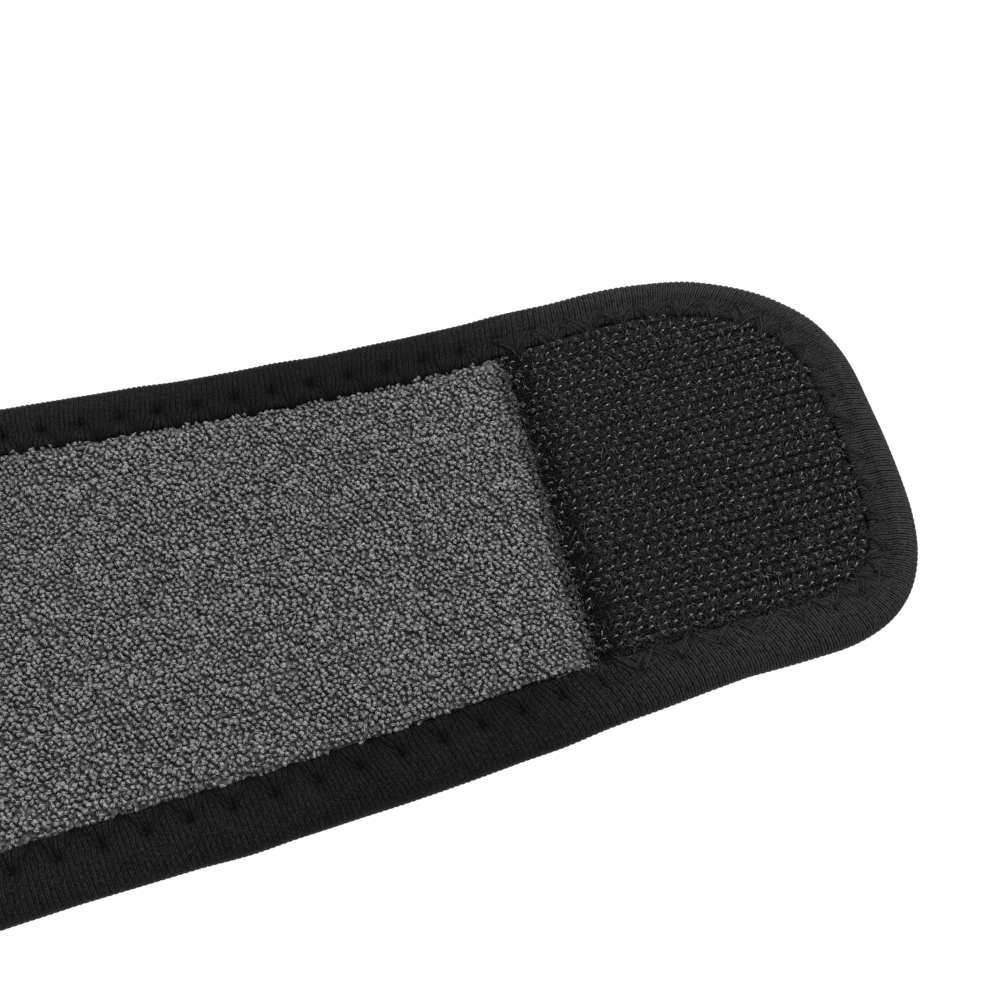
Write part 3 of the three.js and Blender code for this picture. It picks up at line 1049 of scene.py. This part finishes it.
def hookRings(rng):
    # each wire goes straight up its leg, then over an arch by angles
    x, y, kind, untidy = hookPlaces(rng)
    turn, reach, stop, dull, pale = hookRows[kind, 2:].T
    count, stations = len(x), len(hooks["taper"])
    turnSpread, leanSpread = hooks["sway"]
    turn = np.radians(turn + turnSpread * untidy * rng.standard_normal(count))
    lean = np.radians(leanSpread * untidy * rng.standard_normal(count))
    flat = np.stack([np.cos(turn), np.sin(turn), 0 * turn], 1)
    sideways = np.stack([-np.sin(turn), np.cos(turn), 0 * turn], 1)
    up = np.stack([0 * turn, 0 * turn, np.cos(lean)], 1) + flat * np.sin(lean)[:, None]
    angle = np.radians(180 + (stop - 180)[:, None] * np.linspace(0, 1, stations - 1))
    run = (reach * rng.uniform(*hooks["reachVary"], count))[:, None] * np.cos(angle)
    tall = rng.uniform(*hooks["tallVary"], count)[:, None] * (hooks["leg"] + hooks["rise"] * np.sin(angle))
    run, tall = np.hstack([run[:, :1], run]), np.hstack([0 * tall[:, :1], tall])
    foot = np.stack([x, y, hooks["top"] - hooks["sunk"] + liftAt(x)], 1)
    path = foot[:, None] + run[..., None] * flat[:, None] + tall[..., None] * up[:, None]
    radius = hooks["wire"] * np.array(hooks["taper"]) * np.ones((count, 1))
    rings = sweepTubes(path, radius, hooks["wireSides"], sideways[:, None] + 0 * path)
    # painted glint: each wire is painted paler towards its tip, where the lamp's highlight falls
    share = np.linspace(0, 1, stations) ** hooks["glintPower"]
    tone = dull[:, None] * (1 - share) + pale[:, None] * share
    return rings, tone * rng.uniform(*hooks["toneVary"], count)[:, None]


def makeHooks():
    # every hook's tube, in one piece
    rings, tint = hookRings(np.random.default_rng(hooks["seed"]))
    return tubePiece("hook_wires", rings, hookNylon(), tint)


# loose yarn of the hook tape: hairs from its cut edge, and low loops between the hooks
fuzz = {
    "taper": (1.1, 1, 0.9, 0.5),  # thickness at each station of a hair
    "sides": 3,
    "long": (0.5, 1.3),
    "curl": 0.9,  # radians, over a hair's length
    "bow": (0.2, 0.5),
    "tipRise": 0.2,
    "hairs": 420,
    "hair": 0.03,
    "hairRootX": (-0.1, 0.7),  # past the hook edge
    "hairRootY": (-21.5, 22),
    "hairRaised": 0.15,  # over the tape
    "hairSpread": 0.85,  # radians, about straight out over the terry
    "hairTones": (0, 0.6),
    "loops": 4200,  # before those outside the field are dropped
    "loop": 0.045,
    "loopSunk": 0.1,
    "loopTones": (0.05, 0.4),
}


def fuzzPiece(name, rng, start, heading, radius, tones):
    # each hair runs level from its start, turning a little, and bows up by a sine; it is of one shade
    count = len(start)
    taper = np.array(fuzz["taper"])
    share = np.linspace(0, 1, len(taper))
    run = rng.uniform(*fuzz["long"], count)[:, None] * share
    heading = heading[:, None] + rng.normal(0, fuzz["curl"], count)[:, None] * share
    bow = rng.uniform(*fuzz["bow"], count)[:, None] * np.sin(np.pi * share) + fuzz["tipRise"] * share
    along = start[:, :1] + run * np.cos(heading)
    across = start[:, 1:2] + run * np.sin(heading)
    path = np.stack([along, across, start[:, 2:] + bow + liftAt(along)], -1)
    rings = sweepTubes(path, radius * taper * np.ones((count, 1)), fuzz["sides"], levelSideways(path))
    tone = np.repeat(rng.uniform(*tones, count)[:, None], len(taper), 1)
    return tubePiece(name, rings, hookNylon(), tone)


def makeFuzz():
    # hairs from the cut edge of the hook tape, out over the terry
    rng = np.random.default_rng(hooks["seed"] + 1)
    count = fuzz["hairs"]
    x = hookEdge + rng.uniform(*fuzz["hairRootX"], count)
    y = rng.uniform(*fuzz["hairRootY"], count)
    start = np.stack([x, y, hooks["top"] + fuzz["hairRaised"] + 0 * x], 1)
    heading = np.pi + rng.normal(0, fuzz["hairSpread"], count)
    return fuzzPiece("selvedge_fuzz", rng, start, heading, fuzz["hair"], fuzz["hairTones"])


def makeTapeLoops():
    # low loops of yarn all over the tape, between the hooks
    rng = np.random.default_rng(hooks["seed"] + 2)
    x = rng.uniform(hookEdge + hooks["selvedge"], band["tab"]["tip"], fuzz["loops"])
    y = rng.uniform(-1, 1, fuzz["loops"]) * max(band["back"])
    inside = clearOfLip(x, y)[0] > hooks["clear"]
    start = np.stack([x, y, hooks["top"] - fuzz["loopSunk"] + 0 * x], 1)[inside]
    heading = rng.uniform(0, 2 * np.pi, len(start))
    return fuzzPiece("tape_loops", rng, start, heading, fuzz["loop"], fuzz["loopTones"])


hookTape = makeHookTape()
hookWires = makeHooks()
hookFuzz = makeFuzz()
tapeLoops = makeTapeLoops()


# zigzag seam thread over the lip, its line underneath, and its frayed filaments beside the hooks
seam = {
    "thread": 0.08,
    "top": (7, 5),  # points of each leg, and sides of the thread
    "under": (5, 4),
    "dip": 0.5,  # at each hole and notch
    "dipLong": 0.35,
    "bury": 0.3,  # how much lower one leg of each stitch lies beside the hooks
    "buryEase": 0.6,
    "underHeight": (0.16, 0.4),  # of the line underneath, and what each hole and notch adds
    "pale": (0.0, 0.2),  # over the terry, and worn lighter beside the hooks
    "greys": (0.0015, 0.2),
    "frayFrom": 2,  # past the hook edge
    "strands": 15,  # loose filaments of each leg beside the hooks
    "strand": 0.034,
    "strandPoints": 5,
    "strandSides": 3,
    "strandLong": (0.3, 1.0),  # share of the leg
    "strandStart": (-0.1, 0.3),
    "spread": 0.46,  # of the strands across the leg
    "bow": 0.4,
    "sunk": 0.05,
    "strandTones": (0, 0.5),
    "seed": 17,
}


def threadFinish():
    # two greys by the thread's wear and its twist, which is also the relief
    finish = Finish("seam_thread", {"Specular IOR Level": 0.1})
    twist = finish.noise(5200, 2)
    finish.colour(finish.tint() * 0.6 + twist * 0.1, *seam["greys"])
    finish.roughness(0.5 + twist * 0.3)
    finish.relief(twist, 0.05)
    return finish.material


def seamRings(isTop, perLeg, sides):
    # from hole to notch and back: the path follows the thread line, sunk in the tape, dipping at each end
    count = 2 * stitches * perLeg
    along = np.arange(count) * edge["length"] / count
    toHole, toNotch = stitchPhase(along)
    place = onEdge(along, "point")
    x = place[:, 0]
    fromLip = threadLine(toHole, holeOut(x))
    ends = np.maximum(bump(toHole, seam["dipLong"]), bump(toNotch, seam["dipLong"]))
    if isTop:
        height = band["thick"] - lipDropAt(fromLip)
        height = height - (binding["threadDent"] + seam["dip"] * ends) * seamDepth(x)
        height = height - seam["bury"] * hookShare(x) * smooth(toHole / seam["buryEase"])
    else:
        low, added = seam["underHeight"]
        height = low + added * ends
    point = place - onEdge(along, "out") * (reachAt(x) - fromLip)[:, None]
    path = np.column_stack([point, height + liftAt(point[:, 0])])
    path = np.vstack([path, path[:1]])[None]
    pale = np.interp(hookShare(path[..., 0]), (0, 1), seam["pale"])
    return sweepTubes(path, np.full(path.shape[:2], seam["thread"]), sides, levelSideways(path)), pale


def makeThread(name, isTop, perLeg, sides, finish):
    # one tube round the whole edge, ending where it starts
    rings, pale = seamRings(isTop, perLeg, sides)
    return tubePiece(name, rings, finish, pale)


def makeLint(finish):
    # frayed thread beside the hooks: each leg's filaments follow part of it, spread apart and bowed up
    # by a sine
    rng = np.random.default_rng(seam["seed"])
    half = stitchPitch / 2
    legs = np.arange(2 * stitches) * half
    legs = legs + stitchShift(legs)
    legs = legs[onEdge(legs, "point")[:, 0] > hookEdge + seam["frayFrom"]]
    legs = np.repeat(legs, seam["strands"])[:, None]
    count, points = len(legs), seam["strandPoints"]
    share = np.linspace(0, 1, points) * rng.uniform(*seam["strandLong"], (count, 1))
    share = share + rng.uniform(*seam["strandStart"], (count, 1))
    along = legs + share * half + rng.normal(0, seam["spread"], (count, 1))
    toHole = stitchPhase(legs + share * half)[0]
    place = onEdge(along, "point")
    x = place[..., 0]
    fromLip = threadLine(toHole, holeOut(x)) + rng.normal(0, seam["spread"], (count, 1))
    point = place - onEdge(along, "out") * (reachAt(x) - fromLip)[..., None]
    bow = rng.uniform(0, seam["bow"], (count, 1)) * np.sin(np.pi * share)
    height = band["thick"] - lipDropAt(fromLip) + bow - seam["sunk"]
    path = np.concatenate([point, (height + liftAt(point[..., 0]))[..., None]], -1)
    radius = np.full(path.shape[:2], seam["strand"])
    rings = sweepTubes(path, radius, seam["strandSides"], levelSideways(path))
    tone = np.repeat(rng.uniform(*seam["strandTones"], count)[:, None], points, 1)
    return tubePiece("seam_lint", rings, finish, tone)


seamFinish = threadFinish()
seamTop = makeThread("seam_thread_top", True, *seam["top"], seamFinish)
seamUnder = makeThread("seam_thread_under", False, *seam["under"], seamFinish)
seamLint = makeLint(seamFinish)


# soft goods: what each was cut to, in metres
cut = {
    "terry": (0.058, 0.388),
    "terryArea": 0.0205,
    "binding": (0.018, edge["length"] * mm),
    "tape": (0.046, 0.040),
}


# white floor and backdrop, soft lights from behind, the right and the front, and the camera
studio = {
    "floorSize": 6.0,  # metres
    "floorDrop": 0.0001,
    "glow": 1.0,
    "greys": (0.05, 0.06),
    "domeRings": (-2, 90, 24),  # degrees: from, to, and how many
    "domeSides": 48,
    "sky": 0.28,
    "lights": (
        ((0.58, 0.55, 0.9), 0.45, 11.5),  # place, size, power
        ((0.95, -0.15, 0.75), 1.0, 4.0),
        ((-0.1, -0.9, 0.8), 1.0, 1.8),
    ),
    "aim": (0.13, 0, 0),
    "camera": (131.8, -75.72, 157.66),
    "lens": 52,
    "clipStart": 0.01,
    "elevation": 62,
    "turn": 14.783,
}


def addToScene(name, data):
    # an object with this data, linked to the scene
    made = bpy.data.objects.new(name, data)
    bpy.context.scene.collection.objects.link(made)
    return made


def stagePiece(name, finishName, points, faces):
    # glows white, and throws back little of the lamps' light
    finish = Finish(finishName, {"Emission Strength": studio["glow"], "Emission Color": (1, 1, 1, 1),
                                 "Roughness": 0.9, "Specular IOR Level": 0.1})
    finish.colour(finish.noise(3, 2), *studio["greys"])
    mesh = bpy.data.meshes.new(name)
    mesh.from_pydata(points, [], faces)
    mesh.materials.append(finish.material)
    piece = addToScene(name, mesh)
    return piece


def makeFloor():
    # a square, just below the part
    half, low = studio["floorSize"] / 2, -studio["floorDrop"]
    corners = [(-half, -half, low), (half, -half, low), (half, half, low), (-half, half, low)]
    stagePiece("floor", "pale_floor", corners, [(0, 1, 2, 3)])


def makeBackdrop():
    # a white dome over the floor, the height of each ring by the sine of its angle; it is only seen, and
    # neither lights the band nor shades it
    rings, sides = np.radians(np.linspace(*studio["domeRings"])), studio["domeSides"]
    rise, turn = np.meshgrid(rings, np.arange(sides) * 2 * np.pi / sides, indexing="ij")
    dome = np.stack([np.cos(rise) * np.cos(turn), np.cos(rise) * np.sin(turn), np.sin(rise)], -1)
    points = dome.reshape(-1, 3) * studio["floorSize"] / 2
    faces = gridFaces(len(rings), sides, closedColumns=True)[0]
    backdrop = stagePiece("backdrop", "white_backdrop", points.tolist(), faces.tolist())
    backdrop.visible_diffuse = False
    backdrop.visible_glossy = False
    backdrop.visible_transmission = False
    backdrop.visible_shadow = False


def makeLights():
    # an even white sky, and round lamps turned from their places to the aim by two angles
    world = bpy.data.worlds.new("studio")
    world.use_nodes = True
    world.node_tree.nodes["Background"].inputs["Color"].default_value = (1, 1, 1, 1)
    world.node_tree.nodes["Background"].inputs["Strength"].default_value = studio["sky"]
    bpy.context.scene.world = world
    for number, (place, size, power) in enumerate(studio["lights"]):
        lamp = bpy.data.lights.new("softbox_" + str(number + 1), "AREA")
        lamp.shape = "DISK"
        lamp.size = size
        lamp.energy = power
        light = addToScene(lamp.name, lamp)
        light.location = place
        aim = np.array(studio["aim"]) - np.array(place)
        turn = np.arctan2(aim[1], aim[0]) - np.pi / 2
        tilt = np.arctan2(np.hypot(aim[0], aim[1]), -aim[2])
        light.rotation_euler = (tilt, 0, turn)


def makeCamera():
    # stands at its place, tipped down by the elevation and turned about the upright
    lens = bpy.data.cameras.new("camera")
    lens.lens = studio["lens"]
    lens.clip_start = studio["clipStart"]
    camera = addToScene("camera", lens)
    camera.location = np.array(studio["camera"]) * mm
    camera.rotation_euler = np.radians((90 - studio["elevation"], 0, -studio["turn"]))
    bpy.context.scene.camera = camera


makeFloor()
makeBackdrop()
makeLights()
makeCamera()
bpy.context.scene.view_settings.view_transform = "Standard"
print("studio ready")
